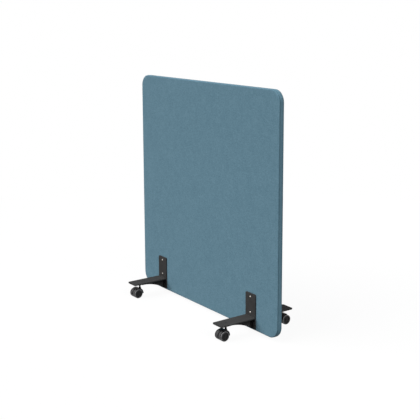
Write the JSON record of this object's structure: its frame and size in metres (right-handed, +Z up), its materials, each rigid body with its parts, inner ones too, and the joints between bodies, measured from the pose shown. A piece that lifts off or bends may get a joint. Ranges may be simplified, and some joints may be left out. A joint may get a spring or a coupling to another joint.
{
  "type": "rolling partition",
  "caption": "Low fabric-covered screen panel with rounded corners on T-shaped black steel feet with twin-wheel swivel castors.",
  "frame": {"origin": "on the floor under the middle of the panel", "axes": "+X along the panel's width, -Y towards the front, +Z up; the panel's faces are normal to Y"},
  "size_m": [1.2, 0.45, 1.216],
  "materials": {
    "board": "sanded chipboard",
    "foam": "soft acoustic felt foam",
    "cover_fabric": "fine melange weave, matte",
    "edge_fabric": "fine melange weave, matte",
    "sleeve_steel": "zinc plated",
    "screw_steel": "zinc plated, satin",
    "black_powder_coat": "fine matte powder coat",
    "stem_steel": "black oxide",
    "bush_steel": "plain",
    "castor_nylon": "moulded, slightly glossy",
    "axle_steel": "plain",
    "hub_nylon": "moulded",
    "tread_nylon": "moulded, satin"
  },
  "bodies": {
    "screen": {"core_board": "board", "front_pad": "foam", "rear_pad": "foam", "front_fabric": "cover_fabric", "rear_fabric": "cover_fabric", "edge_band": "edge_fabric", "threaded_sleeves": "sleeve_steel", "front_screws": "screw_steel", "rear_screws": "screw_steel", "front_left_bracket": "black_powder_coat", "front_left_stem": "stem_steel", "front_left_stem_ring": "bush_steel", "front_right_bracket": "black_powder_coat", "front_right_stem": "stem_steel", "front_right_stem_ring": "bush_steel", "rear_left_bracket": "black_powder_coat", "rear_left_stem": "stem_steel", "rear_left_stem_ring": "bush_steel", "rear_right_bracket": "black_powder_coat", "rear_right_stem": "stem_steel", "rear_right_stem_ring": "bush_steel"},
    "front_left_swivel": {"front_left_housing": "castor_nylon", "front_left_bush": "bush_steel", "front_left_axle": "axle_steel"},
    "front_left_outer_wheel": {"front_left_outer_hub": "hub_nylon", "front_left_outer_tyre": "tread_nylon"},
    "front_left_inner_wheel": {"front_left_inner_hub": "hub_nylon", "front_left_inner_tyre": "tread_nylon"},
    "front_right_swivel": {"front_right_housing": "castor_nylon", "front_right_bush": "bush_steel", "front_right_axle": "axle_steel"},
    "front_right_outer_wheel": {"front_right_outer_hub": "hub_nylon", "front_right_outer_tyre": "tread_nylon"},
    "front_right_inner_wheel": {"front_right_inner_hub": "hub_nylon", "front_right_inner_tyre": "tread_nylon"},
    "rear_left_swivel": {"rear_left_housing": "castor_nylon", "rear_left_bush": "bush_steel", "rear_left_axle": "axle_steel"},
    "rear_left_outer_wheel": {"rear_left_outer_hub": "hub_nylon", "rear_left_outer_tyre": "tread_nylon"},
    "rear_left_inner_wheel": {"rear_left_inner_hub": "hub_nylon", "rear_left_inner_tyre": "tread_nylon"},
    "rear_right_swivel": {"rear_right_housing": "castor_nylon", "rear_right_bush": "bush_steel", "rear_right_axle": "axle_steel"},
    "rear_right_outer_wheel": {"rear_right_outer_hub": "hub_nylon", "rear_right_outer_tyre": "tread_nylon"},
    "rear_right_inner_wheel": {"rear_right_inner_hub": "hub_nylon", "rear_right_inner_tyre": "tread_nylon"}
  },
  "joints": [
    {"name": "front_left_swivel_turn", "type": "hinge", "parent": "screen", "child": "front_left_swivel", "pos_m": [-0.4, -0.172, 0.05], "axis": [0, 0, 1], "continuous": true},
    {"name": "front_left_outer_wheel_spin", "type": "hinge", "parent": "front_left_swivel", "child": "front_left_outer_wheel", "pos_m": [-0.41475, -0.1945, 0.025], "axis": [1, 0, 0], "continuous": true},
    {"name": "front_left_inner_wheel_spin", "type": "hinge", "parent": "front_left_swivel", "child": "front_left_inner_wheel", "pos_m": [-0.38525, -0.1945, 0.025], "axis": [1, 0, 0], "continuous": true},
    {"name": "front_right_swivel_turn", "type": "hinge", "parent": "screen", "child": "front_right_swivel", "pos_m": [0.4, -0.172, 0.05], "axis": [0, 0, 1], "continuous": true},
    {"name": "front_right_outer_wheel_spin", "type": "hinge", "parent": "front_right_swivel", "child": "front_right_outer_wheel", "pos_m": [0.41475, -0.1945, 0.025], "axis": [1, 0, 0], "continuous": true},
    {"name": "front_right_inner_wheel_spin", "type": "hinge", "parent": "front_right_swivel", "child": "front_right_inner_wheel", "pos_m": [0.38525, -0.1945, 0.025], "axis": [1, 0, 0], "continuous": true},
    {"name": "rear_left_swivel_turn", "type": "hinge", "parent": "screen", "child": "rear_left_swivel", "pos_m": [-0.4, 0.172, 0.05], "axis": [0, 0, 1], "continuous": true},
    {"name": "rear_left_outer_wheel_spin", "type": "hinge", "parent": "rear_left_swivel", "child": "rear_left_outer_wheel", "pos_m": [-0.41475, 0.1945, 0.025], "axis": [1, 0, 0], "continuous": true},
    {"name": "rear_left_inner_wheel_spin", "type": "hinge", "parent": "rear_left_swivel", "child": "rear_left_inner_wheel", "pos_m": [-0.38525, 0.1945, 0.025], "axis": [1, 0, 0], "continuous": true},
    {"name": "rear_right_swivel_turn", "type": "hinge", "parent": "screen", "child": "rear_right_swivel", "pos_m": [0.4, 0.172, 0.05], "axis": [0, 0, 1], "continuous": true},
    {"name": "rear_right_outer_wheel_spin", "type": "hinge", "parent": "rear_right_swivel", "child": "rear_right_outer_wheel", "pos_m": [0.41475, 0.1945, 0.025], "axis": [1, 0, 0], "continuous": true},
    {"name": "rear_right_inner_wheel_spin", "type": "hinge", "parent": "rear_right_swivel", "child": "rear_right_inner_wheel", "pos_m": [0.38525, 0.1945, 0.025], "axis": [1, 0, 0], "continuous": true}
  ]
}
